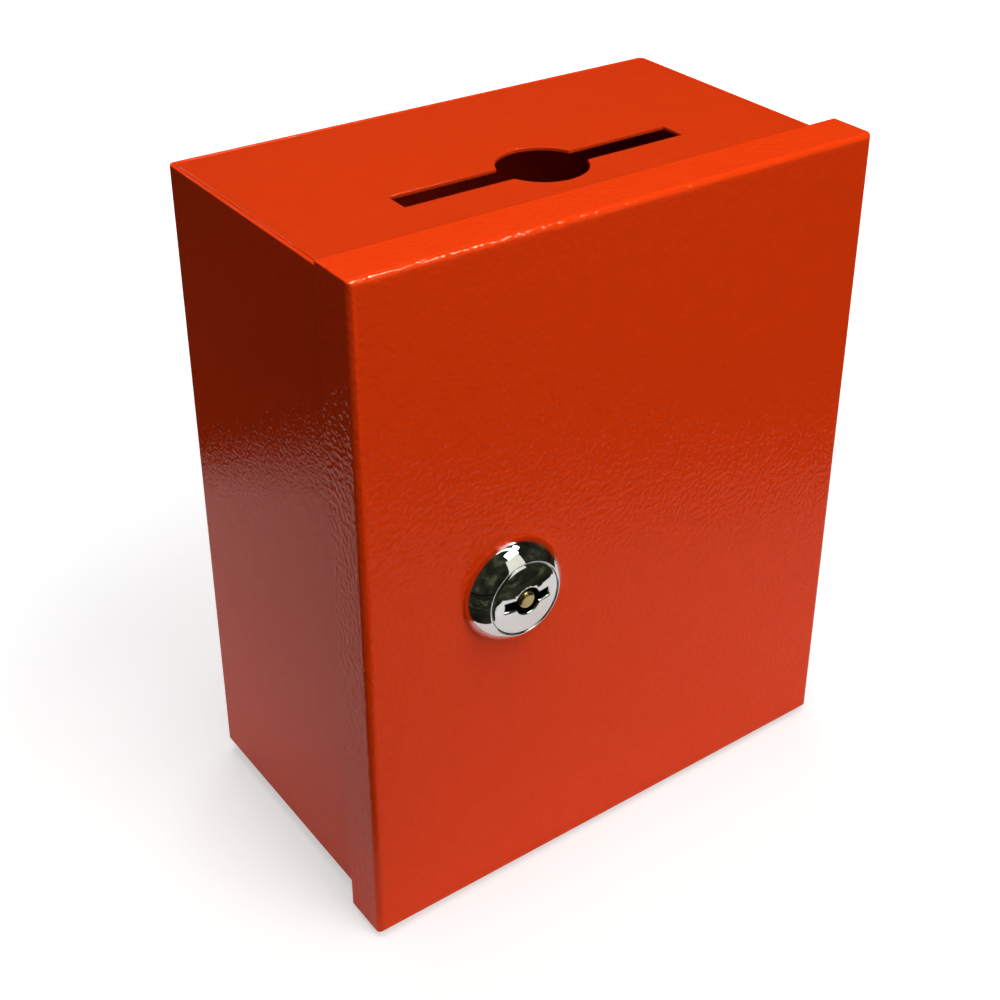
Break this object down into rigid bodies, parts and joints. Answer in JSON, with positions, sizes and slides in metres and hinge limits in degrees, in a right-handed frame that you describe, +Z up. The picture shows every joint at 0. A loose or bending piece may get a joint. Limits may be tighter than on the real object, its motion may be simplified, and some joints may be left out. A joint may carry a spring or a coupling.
{
  "type": "donation box",
  "caption": "Small lockable sheet-steel collection box with a slotted top, a wrap-over hinged front door and a round cam lock, for a table or a wall.",
  "frame": {"origin": "on the floor, under the middle of the box that holds the whole object", "axes": "+Z up, the door faces -Y, and +X points to the hinged side"},
  "size_m": [0.1702, 0.1032, 0.2015],
  "materials": {
    "red_paint": "glossy orange-red powder coat with a fine bumpy texture",
    "black_rubber": "matt black",
    "pin_steel": "plain drawn steel",
    "chrome": "polished chrome plate",
    "zinc_steel": "bright zinc plate",
    "brass": "plain turned brass"
  },
  "bodies": {
    "case": {"case_wrap": "red_paint", "top_panel": "red_paint", "bottom_panel": "red_paint", "strike": "red_paint", "foot_front_left": "black_rubber", "foot_front_right": "black_rubber", "foot_back_left": "black_rubber", "foot_back_right": "black_rubber", "upper_hinge_case_leaf": "red_paint", "upper_hinge_pin": "pin_steel", "lower_hinge_case_leaf": "red_paint", "lower_hinge_pin": "pin_steel"},
    "door": {"door_panel": "red_paint", "upper_hinge_door_leaf": "red_paint", "lower_hinge_door_leaf": "red_paint", "lock_housing": "chrome", "lock_washer": "zinc_steel", "lock_nut": "zinc_steel"},
    "core": {"lock_plug": "chrome", "key_post": "brass", "stop_washer": "zinc_steel", "lock_cam": "zinc_steel", "spring_washer": "zinc_steel", "cam_nut": "zinc_steel"},
    "wafers_right": {"lock_wafer_1": "brass", "lock_wafer_3": "brass", "lock_wafer_5": "brass"},
    "wafers_left": {"lock_wafer_2": "brass", "lock_wafer_4": "brass", "lock_wafer_6": "brass"}
  },
  "joints": [
    {"name": "door_hinge", "type": "hinge", "parent": "case", "child": "door", "pos_m": [0.08155, -0.02515, 0.1015], "axis": [0, 0, 1], "range_deg": [0, 180]},
    {"name": "lock_turn", "type": "hinge", "parent": "door", "child": "core", "pos_m": [-0.04075, -0.04415, 0.1015], "axis": [0, 1, 0], "range_deg": [0, 90]},
    {"name": "wafers_right_slide", "type": "slide", "parent": "core", "child": "wafers_right", "axis": [1, 0, 0], "range_m": [0, 0.0008]},
    {"name": "wafers_left_slide", "type": "slide", "parent": "core", "child": "wafers_left", "axis": [-1, 0, 0], "range_m": [0, 0.0008]}
  ],
  "couplings": [
    {"joint": "wafers_left_slide", "follows": "wafers_right_slide", "ratio": 1}
  ]
}
